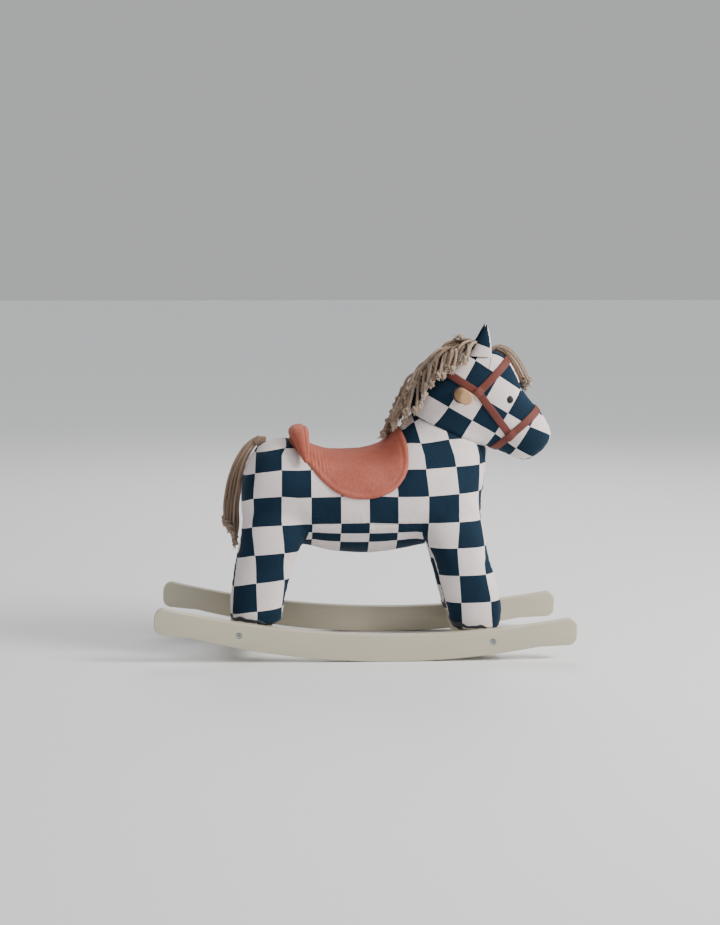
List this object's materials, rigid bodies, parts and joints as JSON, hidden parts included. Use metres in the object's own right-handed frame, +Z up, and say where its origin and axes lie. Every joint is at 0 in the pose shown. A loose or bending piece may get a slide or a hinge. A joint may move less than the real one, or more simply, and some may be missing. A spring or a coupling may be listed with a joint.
{
  "type": "plush rocking horse",
  "caption": "Stuffed checked-fabric horse with saddle, bridle and cord mane and tail, sewn over a wooden frame and bolted to two bent wooden rockers.",
  "frame": {"origin": "on the floor under the middle of the rockers, at the centre of the object's footprint", "axes": "+X forwards to the nose, +Y to the horse's left, +Z up; the horse stands tipped nose-down by about two degrees, as it comes to rest"},
  "size_m": [0.7121, 0.28, 0.5625],
  "materials": {
    "rocker_paint": "satin",
    "beech": "satin",
    "frame_pine": "matte",
    "zinc_hardware": "satin",
    "checked_cotton": "matte",
    "saddle_suede": "matte",
    "bridle_leather": "satin",
    "cotton_cord": "matte",
    "eye_black": "satin"
  },
  "bodies": {
    "horse": {"rocker_left": "rocker_paint", "cheek_strap_left": "bridle_leather", "ear_left": "checked_cotton", "eye_left": "eye_black", "rocker_right": "rocker_paint", "cheek_strap_right": "bridle_leather", "ear_right": "checked_cotton", "eye_right": "eye_black", "cross_rail_front": "rocker_paint", "cross_rail_rear": "rocker_paint", "shoulder_block": "frame_pine", "hip_block": "frame_pine", "rocker_bolt_front_left": "zinc_hardware", "barrel_nut_front_left": "zinc_hardware", "rail_pin_front_left": "beech", "foot_bolt_front_left": "zinc_hardware", "foot_plate_front_left": "beech", "leg_post_front_left": "frame_pine", "spine_screw_front_left": "zinc_hardware", "leg_front_left": "checked_cotton", "rocker_bolt_front_right": "zinc_hardware", "barrel_nut_front_right": "zinc_hardware", "rail_pin_front_right": "beech", "foot_bolt_front_right": "zinc_hardware", "foot_plate_front_right": "beech", "leg_post_front_right": "frame_pine", "spine_screw_front_right": "zinc_hardware", "leg_front_right": "checked_cotton", "rocker_bolt_rear_left": "zinc_hardware", "barrel_nut_rear_left": "zinc_hardware", "rail_pin_rear_left": "beech", "foot_bolt_rear_left": "zinc_hardware", "foot_plate_rear_left": "beech", "leg_post_rear_left": "frame_pine", "spine_screw_rear_left": "zinc_hardware", "leg_rear_left": "checked_cotton", "rocker_bolt_rear_right": "zinc_hardware", "barrel_nut_rear_right": "zinc_hardware", "rail_pin_rear_right": "beech", "foot_bolt_rear_right": "zinc_hardware", "foot_plate_rear_right": "beech", "leg_post_rear_right": "frame_pine", "spine_screw_rear_right": "zinc_hardware", "leg_rear_right": "checked_cotton", "spine_board": "frame_pine", "neck_board": "frame_pine", "handle_dowel": "beech", "torso": "checked_cotton", "head": "checked_cotton", "saddle_seat": "saddle_suede", "saddle_cantle": "saddle_suede", "crown_strap": "bridle_leather", "browband": "bridle_leather", "noseband": "bridle_leather", "chin_strap": "bridle_leather", "mane": "cotton_cord"},
    "tail": {"tail": "cotton_cord", "tail_binding": "cotton_cord"},
    "forelock": {"forelock": "cotton_cord"}
  },
  "joints": [
    {"name": "tail_lift", "type": "hinge", "parent": "horse", "child": "tail", "pos_m": [-0.17079, 0, 0.36366], "axis": [0, 1, 0], "range_deg": [0, 70]},
    {"name": "forelock_lift", "type": "hinge", "parent": "horse", "child": "forelock", "pos_m": [0.21881, 0, 0.52363], "axis": [0, -1, 0], "range_deg": [0, 60]}
  ]
}
